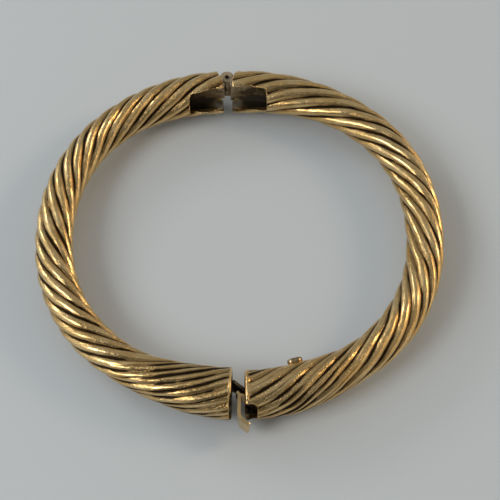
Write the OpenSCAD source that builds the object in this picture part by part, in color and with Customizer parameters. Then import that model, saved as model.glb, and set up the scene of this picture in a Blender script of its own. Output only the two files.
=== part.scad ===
/* [Bangle] */
// Half the width of the tube's middle line, side to side
plan_a = 30.95; // [29:0.1:33]
// Half the depth of the tube's middle line, hinge to clasp
plan_b = 28.95; // [28:0.05:31]
// Exponent of the plan's outline, 2 for a true ellipse
plan_fullness = 2.14; // [2:0.01:2.3]
// How far the hinge sits to the left of the plan's own middle
hinge_x = 2.4; // [0:0.1:3]
// How far the bangle stands open, in degrees
open_deg = 1.8; // [0.5:0.1:4]

/* [Tube] */
// Outer radius of the tube at its sides
side_r = 3.25; // [3:0.05:3.6]
// Outer radius of the tube at the hinge
hinge_r = 3.9; // [3.8:0.05:4]
// Outer radius of the left half's clasp end
left_clasp_r = 4.45; // [4.2:0.05:4.6]
// Outer radius of the right half's clasp end
right_clasp_r = 4.2; // [4.1:0.05:4.4]
// Degrees of the plan over which the hinge end swells
hinge_flare = 45; // [20:1:50]
// Degrees of the plan over which the left half's clasp end swells
left_clasp_flare = 36; // [30:1:50]
// Degrees of the plan over which the right half's clasp end swells
right_clasp_flare = 38; // [30:1:50]
// Degrees over which the right half's clasp end keeps its full radius
right_clasp_level = 10; // [0:1:15]
// How far the left half's clasp end stands out from the plan
left_clasp_out = 0.3; // [0:0.05:0.6]
// How far the right half's clasp end stands out from the plan
right_clasp_out = 0.6; // [0.3:0.05:0.8]
// From the rib crests to the smooth inside of the hollow
wall = 0.95; // [0.9:0.05:1]
// Radius of the rounding round each half's hinge end
hinge_round = 0.5; // [0.3:0.05:0.6]
// Radius of the rounding round each half's clasp end
clasp_round = 0.7; // [0.4:0.05:0.75]

/* [Ribs] */
// Number of ribs round the tube
ribs = 9; // [7:2:11]
// Depth of the grooves between the ribs
rib_depth = 0.5; // [0.2:0.05:0.6]

/* [Hinge] */
// Distance from the hinge axis to the end face of each half
hinge_gap = 0.75; // [0.7:0.05:1]
// Distance from the tube's middle line out to the hinge axis
hinge_out = 1.7; // [1.5:0.05:1.8]
// Radius of the hinge barrel
barrel_r = 1.2; // [1.1:0.05:1.25]
// Radius of the hinge pin
pin_r = 0.4; // [0.35:0.05:0.45]
// How far the hinge leaves reach up from the tube's middle line, at the hinge
leaf_up = 2.75; // [2:0.05:2.8]
// How far the hinge leaves reach up at their far ends
leaf_end_up = 2.4; // [1.8:0.05:2.4]
// How far the hinge leaves reach down from the tube's middle line
leaf_down = 1.05; // [1:0.05:1.6]
// Distance from the hinge axis to the far end of each window
window_end = 6.8; // [6:0.1:7.2]
// Width of each window, round the tube
window_h = 4.7; // [4.4:0.1:5.5]
// How much lower the left window's far upper corner is
left_window_drop = 0.8; // [0:0.1:1]
// How much lower the right window's far upper corner is
right_window_drop = 0.3; // [0:0.1:1]
// Degrees that the windows face up from straight inwards
window_turn = 30; // [0:1:40]

/* [Clasp] */
// Height of the folded spring's inner leaf
tongue_h = 4.2; // [3.8:0.1:4.8]
// Height of the folded spring's outer leaf
outer_leaf_h = 2.6; // [2.4:0.1:3.6]
// Thickness of the spring's two leaves
spring_t = 0.45; // [0.4:0.05:0.5]
// Height of the thumb lever
lever_h = 3.7; // [3.4:0.1:3.8]
// Thickness of the thumb lever
lever_t = 0.55; // [0.5:0.05:0.7]
// Depth of the lever's notch in the right half
right_notch = 2; // [1.9:0.1:2.4]
// How far the right half's notch reaches up from the tube's middle line
right_notch_up = 3; // [2.6:0.05:3.4]
// Depth of the shallow notch in the left half
left_notch = 0.4; // [0.3:0.05:0.8]
// How far the left half's notch reaches up from the tube's middle line
left_notch_up = 3.9; // [3:0.05:4]
// How far both notches reach down from the tube's middle line
notch_down = 2; // [1.95:0.05:2.9]

/* [Oval plate] */
// Length of the oval plate along the tube
oval_l = 2.5; // [2:0.1:4]
// Height of the oval plate
oval_h = 1.8; // [1.4:0.1:2.6]
// Thickness of the oval plate
oval_t = 0.5; // [0.3:0.05:0.9]

/* [Hidden] */
$fn = 48;

gold = [0.80, 0.62, 0.30];
old_gold = [0.48, 0.38, 0.20];
dark_gold = [0.24, 0.19, 0.11];

LEFT = -1;
RIGHT = 1;

// Clearances, and how far a cut runs past what it cuts
seam = 0.05;
plate_gap = 0.08;
knuckle_gap = 0.1;
pin_fit = 0.02;
running_fit = 0.05;
past = 1;

// How far a rib has turned round each half, measured at equal steps from hinge to clasp
//             0    30   60   90   120  150  180 degrees of the plan
left_turns = [-151, 5, 153, 313, 479, 634, 751];
right_turns = [-58, 57, 185, 341, 495, 623, 761];
turn_step = 30;
// Section angle of a groove where the table says 0
groove_at = 100;

// Points round the outside for each rib, and rings along each half
rib_points = 4;
ring_count = 46;
outer_n = ribs * rib_points;
inner_n = outer_n / 2;
inner_ring_count = 23;

// Degrees over which each clasp end stands out from the plan
left_out_range = 18;
right_out_range = 32;
// The clasp's own pieces lie between the two halves' middle lines
clasp_out = (left_clasp_out + right_clasp_out) / 2;

// The windows: how far in they are cut, and their rounded upper corner
window_in = 1;
window_corner = 0.8;

// The slope that cuts each half's outer corner back beside the hinge
bevel_from = -0.2;
bevel_out = 2.15;

// The hinge leaves, measured from the hinge axis and the tube's middle line
leaf_start = 0.5;
leaf_end = 8.3;
leaf_foot = 0.8;
foot_h = 3.3;
leaf_t = 0.6;
leaf_face = -0.45;
// The barrel's ends and the left leaf's knuckle, as heights above the middle line
barrel_low = -2;
knuckle_low = -1.4;
knuckle_high = 0.05;
barrel_high = 2.35;
pin_short = 0.2;

// The folded spring and the lever, each point [along, outwards] from the clasp's middle
inner_leaf = [[-0.9, -1.35], [0.3, -1.35], [1.8, -0.15], [5.5, -0.175], [6.3, -0.175]];
outer_leaf = [[0.75, 0], [1.14, 0.5], [1.9, 0.65], [5.65, 0.475]];
lever_path = [[1.14, 0.5], [1.14, 3.6], [1.22, 4.1], [1.45, 4.55],
              [1.85, 4.95], [2.3, 5.3], [2.75, 5.6]];
fold = [6.3, 0.15];
fold_r = 0.55;
lever_corner = 0.9;
lever_reach = 9;

// The plate that closes the left half's end
end_plate_in = 0.05;
end_plate_t = 0.6;

// The plate inside the right half's end, with a mouth for the tongue and a way for the lever
catch_in = 0.1;
catch_t = 0.35;
mouth_in = 1.6;
mouth_out = 1.6;
mouth_h = tongue_h + 0.3;
lever_way = lever_h + 0.3;
notch_in = 1.4;

// The oval plate: its place along the clasp end, and the section angle that it faces
oval_x = 9.1;
oval_angle = 165;

// The plan: t runs from 0 at its back to 180 at the clasp, and x is measured towards each half's side
function signed_pow(x, e) = sign(x) * pow(abs(x), e);
function plan_t(x) = asin(signed_pow(x / plan_a, plan_fullness / 2));
function middle(side, t) =
    [side * plan_a * signed_pow(sin(t), 2 / plan_fullness),
     plan_b * signed_pow(cos(t), 2 / plan_fullness) - stand_out(side, t),
     mid_z];
function outward(side, t) =
    let (gx = signed_pow(sin(t), 2 - 2 / plan_fullness) / plan_a,
         gy = signed_pow(cos(t), 2 - 2 / plan_fullness) / plan_b)
    [side * gx, gy, 0] / norm([gx, gy]);

// The middle line lies level, high enough for the left half's clasp end to rest on the surface
mid_z = left_clasp_r;

// Half a smooth wave, from 1 at 0 and before to 0 at 1 and after
function swell(x) = x < 0 ? 1 : x < 1 ? (1 + cos(180 * x)) / 2 : 0;
// How far a half stands out from the plan near the clasp
function half_out(side) = side == LEFT ? left_clasp_out : right_clasp_out;
function stand_out(side, t) =
    half_out(side) * swell((180 - t) / (side == LEFT ? left_out_range : right_out_range));

// Where a half stands at a distance from the hinge axis or from the clasp
function from_hinge(side, d) = plan_t(d - side * hinge_x);
function from_clasp(d) = 180 - plan_t(d);

// The hinge's own frame: its origin on the tube's middle line, its y axis outwards
hinge_mid = middle(LEFT, from_hinge(LEFT, 0));
hinge_way = outward(LEFT, from_hinge(LEFT, 0));
hinge_tilt = atan2(-hinge_way[0], hinge_way[1]);
hinge_axis = hinge_mid + hinge_out * hinge_way;
// The origin is below the middle of the bangle's box, from the back of the hinge end to the lever's tip
lever_tip = lever_path[len(lever_path) - 1];
shift_y = (lever_tip[1] + clasp_out + lever_t / 2 - hinge_r) / 2;

// The tube: its radius swells towards the hinge and more towards the clasp
function clasp_r(side) = side == LEFT ? left_clasp_r : right_clasp_r;
function clasp_swell(side, t) =
    side == LEFT ? swell((180 - t) / left_clasp_flare)
                 : swell((180 - t - right_clasp_level) / (right_clasp_flare - right_clasp_level));
function tube_r(side, t) =
    side_r + (hinge_r - side_r) * swell(abs(t - from_hinge(side, 0)) / hinge_flare)
           + (clasp_r(side) - side_r) * clasp_swell(side, t);
function hollow_r(side, t) = tube_r(side, t) - wall;
// The hollow has flat sides, so what fits in it stays inside their nearest points
hollow_flat = cos(180 / inner_n);

// A smooth curve through table values at equal steps
function table_at(table, i) =
    i < 0 ? 2 * table[0] - table[1]
    : i > len(table) - 1 ? 2 * table[len(table) - 1] - table[len(table) - 2]
    : table[i];
function curve_through(table, x) =
    let (i = max(0, min(floor(x), len(table) - 2)), f = x - i,
         p0 = table_at(table, i - 1), p1 = table[i], p2 = table[i + 1], p3 = table_at(table, i + 2))
    p1 + f * (p2 - p0) / 2
       + f * f * (p0 - 2.5 * p1 + 2 * p2 - p3 / 2)
       + f * f * f * (-p0 + 3 * p1 - 3 * p2 + p3) / 2;
function turn(side, t) = curve_through(side == LEFT ? left_turns : right_turns, t / turn_step);
// A rib's height, from 0 in the groove to 1 on the crest
function lobe(psi) = abs(sin(ribs * psi / 2));

// A point of the tube's section: angle 0 faces outwards, 90 faces up
function section_point(side, t, angle, r) =
    middle(side, t) + r * (cos(angle) * outward(side, t) + [0, 0, sin(angle)]);

// Each ring is [t, how much the rounded end trims the ribs]
end_angles = [90, 60, 30];
function rings(side) =
    let (first_t = from_hinge(side, hinge_gap + hinge_round), last_t = from_clasp(seam + clasp_round))
    concat(
        [for (a = end_angles)
            [from_hinge(side, hinge_gap + hinge_round * (1 - sin(a))), hinge_round * (1 - cos(a))]],
        [for (i = [0 : ring_count]) [first_t + i * (last_t - first_t) / ring_count, 0]],
        [for (i = [len(end_angles) - 1 : -1 : 0])
            let (a = end_angles[i])
            [from_clasp(seam + clasp_round * (1 - sin(a))), clasp_round * (1 - cos(a))]]);

function outer_ring(side, ring) =
    [for (j = [0 : outer_n - 1])
        let (psi = 360 * j / outer_n,
             crest_r = tube_r(side, ring[0]),
             r = min(crest_r - rib_depth * (1 - lobe(psi)), crest_r - ring[1]))
        section_point(side, ring[0], groove_at - side * turn(side, ring[0]) + psi, r)];

// The inside keeps the same points at both ends and turns as little as it can between them
inner_step = 360 / inner_n;
function whole_turn(side) = turn(side, from_clasp(seam)) - turn(side, from_hinge(side, hinge_gap));
function inner_shift(side) = round(whole_turn(side) / inner_step);
function spare_turn(side) = whole_turn(side) - inner_shift(side) * inner_step;
function inner_ring(side, i) =
    let (f = i / inner_ring_count,
         from = from_hinge(side, hinge_gap),
         t = from + f * (from_clasp(seam) - from))
    [for (j = [0 : inner_n - 1])
        section_point(side, t, groove_at - side * (turn(side, from) + f * spare_turn(side)) + inner_step * j,
                      hollow_r(side, t))];

// Faces run clockwise seen from outside on the right half, and are turned over on the left one
function turned(face) = [for (i = [len(face) - 1 : -1 : 0]) face[i]];
function facing(side, faces) = side == RIGHT ? faces : [for (f = faces) turned(f)];
function skin(start, count, n) =
    [for (i = [0 : count - 2], j = [0 : n - 1], half = [0, 1])
        let (a = start + i * n + j, b = start + i * n + (j + 1) % n)
        half == 0 ? [a, a + n, b + n] : [a, b + n, b]];
// The end of the wall: two outer points for each inner one, with the inner ring shifted round
function end_cap(outer, inner, shift) =
    [for (j = [0 : inner_n - 1], k = [0 : 2])
        let (o = 2 * (j - shift) + 4 * outer_n,
             a = outer + o % outer_n, b = outer + (o + 1) % outer_n, c = outer + (o + 2) % outer_n,
             p = inner + j, q = inner + (j + 1) % inner_n)
        k == 0 ? [a, b, p] : k == 1 ? [b, q, p] : [b, c, q]];

module ribbed_tube(side) {
    outer = [for (ring = rings(side)) each outer_ring(side, ring)];
    inner = [for (i = [0 : inner_ring_count]) each inner_ring(side, i)];
    n_rings = len(rings(side));
    last_outer = (n_rings - 1) * outer_n;
    last_inner = len(outer) + inner_ring_count * inner_n;
    faces = concat(
        skin(0, n_rings, outer_n),
        [for (f = skin(len(outer), inner_ring_count + 1, inner_n)) turned(f)],
        end_cap(0, len(outer), 0),
        [for (f = end_cap(last_outer, last_inner, -side * inner_shift(side))) turned(f)]);
    polyhedron(concat(outer, inner), facing(side, faces), convexity = 12);
}

// Each half is drawn closed and then swung out about the hinge to where it rests
module swing(side) {
    axis = [hinge_axis[0], hinge_axis[1], 0];
    translate([0, shift_y, 0])
        translate(axis)
            rotate([0, 0, side * open_deg / 2])
                translate(-axis)
                    children();
}

module at_hinge() {
    translate(hinge_mid)
        rotate([0, 0, hinge_tilt])
            children();
}

module mirrored(side) {
    if (side == LEFT) mirror([1, 0, 0]) children();
    else children();
}

// The window leaves the inner wall open from the hinge end to its far edge
module window_cut(side) {
    far_x = window_end - window_corner;
    far_y = window_h / 2 - window_corner - (side == LEFT ? left_window_drop : right_window_drop);
    at_hinge()
        rotate([90 - window_turn, 0, 0])
            translate([0, 0, window_in])
                linear_extrude(hinge_r + past)
                    mirrored(side)
                        hull() {
                            translate([-past, -window_h / 2])
                                square([past, window_h]);
                            translate([far_x, -window_h / 2])
                                square(window_corner);
                            translate([far_x, far_y])
                                circle(window_corner);
                        }
}

// The outer corner of each half slopes back so that the halves can open
module bevel_cut(side) {
    deep = hinge_r + past;
    slope = (bevel_out - hinge_gap) / (hinge_r - bevel_from);
    at_hinge()
        translate([0, 0, -deep])
            linear_extrude(2 * deep)
                mirrored(side)
                    polygon([[-past, bevel_from],
                             [hinge_gap, bevel_from],
                             [hinge_gap + slope * (deep - bevel_from), deep],
                             [-past, deep]]);
}

// A notch in the outer side of a half's clasp end
module notch_cut(side, depth, up) {
    reach = half_out(side) + clasp_r(side) + past;
    translate([0, -plan_b - reach, mid_z - notch_down])
        mirrored(side)
            translate([-past, 0, 0])
                cube([past + seam + depth, reach - half_out(side) - notch_in, up + notch_down]);
}

module left_half() {
    color(gold)
        swing(LEFT)
            difference() {
                ribbed_tube(LEFT);
                window_cut(LEFT);
                bevel_cut(LEFT);
                notch_cut(LEFT, left_notch, left_notch_up);
            }
}

module right_half() {
    color(gold)
        swing(RIGHT)
            difference() {
                ribbed_tube(RIGHT);
                window_cut(RIGHT);
                bevel_cut(RIGHT);
                notch_cut(RIGHT, right_notch, right_notch_up);
            }
}

// How far out a leaf's foot reaches: just short of the hollow's wall at the foot's far end
function foot_out(side) =
    let (t = from_hinge(side, leaf_end),
         half = foot_h / 2,
         reach = hollow_r(side, t) * hollow_flat - seam)
    (middle(side, t) - hinge_mid) * hinge_way + sqrt(reach * reach - half * half);

// One leaf: a flat plate that reaches down to the lowest knuckle beside it, a foot out to the wall,
// and a neck and knuckle for each [bottom, top]
module hinge_leaf(side, knuckles, bore_r) {
    lowest = knuckles[0][0];
    at_hinge()
        difference() {
            union() {
                mirrored(side)
                    translate([0, leaf_face + leaf_t, 0])
                        rotate([90, 0, 0])
                            linear_extrude(leaf_t)
                                polygon([[leaf_start, lowest], [barrel_r, lowest], [barrel_r, -leaf_down],
                                         [leaf_end, -leaf_down], [leaf_end, leaf_end_up],
                                         [leaf_start, leaf_up]]);
                translate([0, 0, -foot_h / 2])
                    linear_extrude(foot_h)
                        mirrored(side)
                            translate([leaf_end - leaf_foot, leaf_face])
                                square([leaf_foot, foot_out(side) - leaf_face]);
                for (k = knuckles)
                    translate([0, 0, k[0]])
                        linear_extrude(k[1] - k[0]) {
                            mirrored(side)
                                polygon([[leaf_start, leaf_face], [barrel_r, leaf_face],
                                         [barrel_r, hinge_out], [leaf_start, hinge_out]]);
                            translate([0, hinge_out])
                                circle(barrel_r);
                        }
            }
            translate([0, hinge_out, barrel_low - past])
                cylinder(h = barrel_high - barrel_low + 2 * past, r = bore_r);
        }
}

module left_hinge_leaf() {
    color(old_gold)
        swing(LEFT)
            hinge_leaf(LEFT, [[knuckle_low + knuckle_gap, knuckle_high - knuckle_gap]], pin_r + running_fit);
}

module right_hinge_leaf() {
    color(old_gold)
        swing(RIGHT)
            hinge_leaf(RIGHT, [[barrel_low, knuckle_low], [knuckle_high, barrel_high]], pin_r + pin_fit);
}

module hinge_pin() {
    color(dark_gold)
        swing(RIGHT)
            at_hinge()
                translate([0, hinge_out, barrel_low + pin_short])
                    cylinder(h = barrel_high - barrel_low - 2 * pin_short, r = pin_r);
}

// A bent strip, from the points along its middle and its thickness
function unit(v) = v / norm(v);
function across(v) = [-v[1], v[0]];
function strip_edge(path, i, half) =
    let (a = unit(i == 0 ? path[1] - path[0] : path[i] - path[i - 1]),
         b = i == len(path) - 1 ? a : unit(path[i + 1] - path[i]),
         n = unit(across(a) + across(b)))
    path[i] + n * half / (n * across(a));
function strip(path, thick) =
    concat([for (i = [0 : len(path) - 1]) strip_edge(path, i, thick / 2)],
           [for (i = [len(path) - 1 : -1 : 0]) strip_edge(path, i, -thick / 2)]);

// The clasp is drawn in [along, outwards] from the clasp's middle, between the two closed ends
module clasp_strip(path, thick, height) {
    translate([0, -plan_b - clasp_out, mid_z - height / 2])
        mirror([0, 1, 0])
            linear_extrude(height)
                polygon(strip(path, thick));
}

module clasp_disc(side, from, thick) {
    translate([from, -plan_b - half_out(side), mid_z])
        rotate([0, 90, 0])
            cylinder(h = thick, r = hollow_r(side, 180) * hollow_flat - plate_gap);
}

module tongue() {
    color(old_gold)
        swing(LEFT) {
            clasp_disc(LEFT, -seam - end_plate_in - end_plate_t, end_plate_t);
            clasp_strip(inner_leaf, spring_t, tongue_h);
            translate([fold[0], -plan_b - clasp_out - fold[1], mid_z - tongue_h / 2])
                cylinder(h = tongue_h, r = fold_r);
        }
}

// The lever seen from outside, with rounded corners at its free end
module lever_outline() {
    end_x = lever_tip[0] + lever_t;
    translate([-past, -lever_h / 2])
        square([end_x - lever_corner + past, lever_h]);
    translate([-past, -lever_h / 2 + lever_corner])
        square([end_x + past, lever_h - 2 * lever_corner]);
    for (up = [-1, 1])
        translate([end_x - lever_corner, up * (lever_h / 2 - lever_corner)])
            circle(lever_corner);
}

module thumb_lever() {
    color(gold)
        swing(LEFT) {
            clasp_strip(outer_leaf, spring_t, outer_leaf_h);
            intersection() {
                clasp_strip(lever_path, lever_t, lever_h);
                translate([0, -plan_b - clasp_out, mid_z])
                    rotate([90, 0, 0])
                        linear_extrude(lever_reach)
                            lever_outline();
            }
        }
}

module catch_plate() {
    color(dark_gold)
        swing(RIGHT)
            difference() {
                clasp_disc(RIGHT, seam + catch_in, catch_t);
                translate([0, -plan_b - clasp_out - mouth_out, mid_z - mouth_h / 2])
                    cube([past, mouth_out + mouth_in, mouth_h]);
                translate([0, -plan_b - right_clasp_out - right_clasp_r, mid_z - lever_way / 2])
                    cube([past, right_clasp_r, lever_way]);
            }
}

module oval_plate() {
    t = from_clasp(oval_x);
    base = section_point(RIGHT, t, oval_angle, tube_r(RIGHT, t) + seam);
    out = outward(RIGHT, t);
    color(gold)
        swing(RIGHT)
            translate(base)
                rotate([0, 0, atan2(out[1], out[0])])
                    rotate([0, 90 - oval_angle, 0])
                        linear_extrude(oval_t) {
                            square([oval_h, oval_l - oval_h], center = true);
                            for (end = [-1, 1])
                                translate([0, end * (oval_l - oval_h) / 2])
                                    circle(oval_h / 2);
                        }
}

left_half();
right_half();
left_hinge_leaf();
right_hinge_leaf();
hinge_pin();
tongue();
thumb_lever();
catch_plate();
oval_plate();
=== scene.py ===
# %% [markdown]
# # A hinged bangle, dressed for its picture
# The real bangle is a hollow cast tube, ribbed like a twisted rope and gold plated. It is made of two
# halves that meet at a small barrel hinge at the back and at a spring clasp in front. The measured solids
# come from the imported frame. This lesson gives them finer ribs, softened edges and an old plated finish,
# and puts them under a soft light on a pale table.

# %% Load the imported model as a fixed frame
import bmesh
import bpy
import math
from mathutils import Matrix, Vector


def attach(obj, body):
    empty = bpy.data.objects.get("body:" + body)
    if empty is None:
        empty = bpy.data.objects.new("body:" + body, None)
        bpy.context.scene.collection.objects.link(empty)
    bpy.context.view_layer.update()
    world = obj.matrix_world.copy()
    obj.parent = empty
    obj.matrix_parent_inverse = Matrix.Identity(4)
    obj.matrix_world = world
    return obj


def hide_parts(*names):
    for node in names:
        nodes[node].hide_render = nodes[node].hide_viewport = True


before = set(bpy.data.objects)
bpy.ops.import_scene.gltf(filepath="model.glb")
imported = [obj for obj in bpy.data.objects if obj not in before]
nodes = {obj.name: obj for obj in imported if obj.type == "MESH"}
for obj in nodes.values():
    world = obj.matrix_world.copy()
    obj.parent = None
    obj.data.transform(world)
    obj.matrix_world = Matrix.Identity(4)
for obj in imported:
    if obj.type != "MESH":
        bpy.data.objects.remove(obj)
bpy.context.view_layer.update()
print("solids:", sorted(nodes))

# %% [markdown]
# ## The camera
# The picture was taken from high in front of the clasp, from about 20 cm away. The camera comes first, so
# that every later look at the scene is already the picture's own. Its place was found by fitting the
# outline of the solids to the outline in the photograph, so its focal length is in the picture's pixels.

# %% The camera
CAMERA_ELEVATION = 62
CAMERA_DISTANCE = 0.206
CAMERA_ROLL = 0.21
CAMERA_TARGET = Vector((0.00178, -0.00008, 0.00025))
FOCAL_PIXELS, PICTURE_PIXELS = 1193, 500
SENSOR_WIDTH = 36
NEAREST, FARTHEST = 0.01, 10


def look_from_front():
    camera_data = bpy.data.cameras.new("camera")
    camera_data.sensor_width = SENSOR_WIDTH
    camera_data.lens = FOCAL_PIXELS / PICTURE_PIXELS * SENSOR_WIDTH
    camera_data.clip_start, camera_data.clip_end = NEAREST, FARTHEST
    camera = bpy.data.objects.new("camera", camera_data)
    bpy.context.scene.collection.objects.link(camera)
    up = math.radians(CAMERA_ELEVATION)
    camera.location = CAMERA_TARGET + CAMERA_DISTANCE * Vector((0, -math.cos(up), math.sin(up)))
    rolled = Matrix.Rotation(math.radians(CAMERA_ROLL), 4, "Z")
    camera.rotation_euler = (Matrix.Rotation(math.pi / 2 - up, 4, "X") @ rolled).to_euler()
    bpy.context.scene.camera = camera
    return camera


print("camera at", tuple(round(x, 4) for x in look_from_front().location))

# %% [markdown]
# ## Helpers for nodes
# The finishes, the light and the ribs are all made with nodes. Each node could be placed and linked by hand,
# but the same few lines would come again for every one of them. So three small helpers come first.

# %% Helpers for nodes
def give(tree, socket, value):
    """Link the socket to another node's output, or set it where the value is a plain one."""
    if isinstance(value, bpy.types.NodeSocket):
        tree.links.new(value, socket)
    else:
        socket.default_value = value


def node_at(tree, kind, **settings):
    """A new node. A setting names an input, with _ for each space, or else one of the node's options."""
    made = tree.nodes.new(kind)
    for name, value in settings.items():
        title = name.replace("_", " ")
        if title in made.inputs:
            give(tree, made.inputs[title], value)
        else:
            setattr(made, name, value)
    return made


def empty_material(name):
    material = bpy.data.materials.new(name)
    material.use_nodes = True
    tree = material.node_tree
    tree.nodes.clear()
    shader = tree.nodes.new("ShaderNodeBsdfPrincipled")
    node_at(tree, "ShaderNodeOutputMaterial", Surface=shader.outputs["BSDF"])
    return material, tree, shader


print("helpers: give, node_at and empty_material")

# %% [markdown]
# ## The table
# The bangle lies on a plain pale grey surface. A flat sheet would do, but a very faint unevenness in its
# roughness keeps its soft shine from looking painted.

# %% The table
TABLE_HALF = 1.5
TABLE_COLOUR = (0.63, 0.685, 0.735, 1)
TABLE_GRAIN, TABLE_SMOOTHEST, TABLE_ROUGHEST = 900, 0.55, 0.7


def pale_grey_card():
    material, tree, shader = empty_material("pale grey card")
    place = tree.nodes.new("ShaderNodeTexCoord").outputs["Object"]
    grain = node_at(tree, "ShaderNodeTexNoise", Scale=TABLE_GRAIN, Detail=3, Vector=place)
    rough = node_at(tree, "ShaderNodeMapRange", Value=grain.outputs["Fac"], To_Min=TABLE_SMOOTHEST,
                    To_Max=TABLE_ROUGHEST)
    give(tree, shader.inputs["Base Color"], TABLE_COLOUR)
    give(tree, shader.inputs["Roughness"], rough.outputs["Result"])
    return material


def pale_table():
    mesh = bpy.data.meshes.new("table")
    corners = [(x * TABLE_HALF, y * TABLE_HALF, 0) for x, y in ((-1, -1), (1, -1), (1, 1), (-1, 1))]
    mesh.from_pydata(corners, [], [(0, 1, 2, 3)])
    mesh.materials.append(pale_grey_card())
    table = bpy.data.objects.new("table", mesh)
    bpy.context.scene.collection.objects.link(table)
    return table


print("laid:", pale_table().name)

# %% [markdown]
# ## The light
# The shadows in the picture are faint, and the crests of the ribs have cream streaks towards the left and
# warm glints towards the right. One strong lamp would give hard shadows, so most of the light comes evenly
# from a pale tent all round. A broad soft panel stands on the left, a smaller one behind it, and a small
# warm lamp on the right, which glitters in the grain of the casting.

# %% Panels and a lamp
PANEL_DISTANCE = 0.7


def soft_panel(name, azimuth, elevation, size, brightness, colour):
    """A lamp that faces the bangle. Azimuth 0 is to the right, 90 behind. Its surface has the brightness."""
    lamp = bpy.data.lights.new(name, "AREA")
    lamp.shape = "RECTANGLE"
    lamp.size, lamp.size_y = size
    lamp.energy = brightness * math.pi * size[0] * size[1]
    lamp.color = colour
    a, e = math.radians(azimuth), math.radians(elevation)
    panel = bpy.data.objects.new(name, lamp)
    way = Vector((math.cos(a) * math.cos(e), math.sin(a) * math.cos(e), math.sin(e)))
    panel.location = PANEL_DISTANCE * way
    panel.rotation_euler = panel.location.to_track_quat("Z", "Y").to_euler()
    bpy.context.scene.collection.objects.link(panel)
    return panel


panels = [
    soft_panel("left panel", azimuth=204, elevation=40, size=(0.32, 0.28), brightness=5,
               colour=(1, 0.985, 0.95)),
    soft_panel("right lamp", azimuth=14, elevation=32, size=(0.16, 0.18), brightness=9,
               colour=(1, 0.75, 0.46)),
    soft_panel("back panel", azimuth=142, elevation=26, size=(0.22, 0.16), brightness=6,
               colour=(1, 0.96, 0.88)),
]
print("lights:", [panel.name for panel in panels])

# %% [markdown]
# The tent could be a white sphere, but the world itself does the same and costs nothing. It is darker in
# front, where the picture was taken from, because polished metal only looks like metal when it has light and
# dark things to reflect. Far left and far right it glows, and towards the right it turns warm.

# %% The tent
FRONT_LIGHT, BACK_LIGHT, TENT_FRONT, TENT_BACK = 0.16, 0.35, -0.55, 0.05
LEFT_GLOW, LEFT_FROM, LEFT_FULL = 0.45, -0.5, -0.66
RIGHT_GLOW, RIGHT_FROM, RIGHT_FULL = 0.48, 0.62, 0.76
COOL, WARM, WARM_FROM, WARM_FULL = (0.94, 0.98, 1), (1, 0.86, 0.66), 0.3, 0.85


def maths(tree, operation, *values):
    made = node_at(tree, "ShaderNodeMath", operation=operation)
    for socket, value in zip(made.inputs, values):
        give(tree, socket, value)
    return made.outputs[0]


def mixed(tree, amount, first, second):
    """The first colour where the amount is 0, the second where it is 1."""
    mix = node_at(tree, "ShaderNodeMix", data_type="RGBA")
    give(tree, mix.inputs[0], amount)
    for socket, colour in ((mix.inputs[6], first), (mix.inputs[7], second)):
        give(tree, socket, (*colour, 1) if isinstance(colour, tuple) else colour)
    return mix.outputs[2]


def spread(tree, value, start, end, low=0.0, high=1.0):
    """Goes smoothly from low to high while the value goes from start to end."""
    made = node_at(tree, "ShaderNodeMapRange", interpolation_type="SMOOTHSTEP", Value=value, From_Min=start,
                   From_Max=end, To_Min=low, To_Max=high)
    return made.outputs["Result"]


def tent_of_light():
    """Even light that grows from front to back, with a glow far left and a warm one far right."""
    room = bpy.data.worlds.new("tent")
    room.use_nodes = True
    tree = room.node_tree
    way = tree.nodes.new("ShaderNodeTexCoord").outputs["Generated"]
    parts = node_at(tree, "ShaderNodeSeparateXYZ", Vector=way).outputs
    left = spread(tree, parts["X"], LEFT_FROM, LEFT_FULL, 0, LEFT_GLOW)
    right = spread(tree, parts["X"], RIGHT_FROM, RIGHT_FULL, 0, RIGHT_GLOW)
    all_round = spread(tree, parts["Y"], TENT_FRONT, TENT_BACK, FRONT_LIGHT, BACK_LIGHT)
    background = tree.nodes["Background"]
    give(tree, background.inputs["Strength"], maths(tree, "ADD", all_round, maths(tree, "ADD", left, right)))
    warmth = spread(tree, parts["X"], WARM_FROM, WARM_FULL)
    give(tree, background.inputs["Color"], mixed(tree, warmth, COOL, WARM))
    bpy.context.scene.world = room
    return room


bpy.context.scene.view_settings.view_transform = "Standard"
print("world:", tent_of_light().name)

# %% [markdown]
# ## The sizes
# The finer shapes have to sit exactly where the solids are, so the sizes and the plan's rule are the same as
# in the solids' source. They are in millimetres and degrees until each piece is finished, because numbers
# near one are easier to read and safer to cut. From above, a half of the bangle follows a flattened ring, a
# little fuller than an ellipse. Places along it go by an angle t, from 0 at the hinge to 180 at the clasp.

# %% Sizes from the solids' source
LEFT, RIGHT = -1, 1
WORDS = {LEFT: "left", RIGHT: "right"}
MM = 0.001
PLAN_A, PLAN_B, PLAN_FULLNESS = 30.95, 28.95, 2.14
MID_Z, SHIFT_Y, OPEN_DEG = 4.45, 1.2125, 1.8
HINGE_X, HINGE_GAP, HINGE_OUT = 2.4, 0.75, 1.7
SIDE_R, HINGE_R, CLASP_R = 3.25, 3.9, {LEFT: 4.45, RIGHT: 4.2}
HINGE_FLARE, CLASP_FLARE, CLASP_LEVEL = 45, {LEFT: 36, RIGHT: 38}, {LEFT: 0, RIGHT: 10}
CLASP_OUT, OUT_RANGE = {LEFT: 0.3, RIGHT: 0.6}, {LEFT: 18, RIGHT: 32}
WALL, HINGE_ROUND, CLASP_ROUND, SEAM = 0.95, 0.5, 0.7, 0.05
RIBS, RIB_DEPTH, GROOVE_AT = 9, 0.5, 100
TURN_STEP = 30
TURNS = {LEFT: [-151, 5, 153, 313, 479, 634, 751], RIGHT: [-58, 57, 185, 341, 495, 623, 761]}


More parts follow.
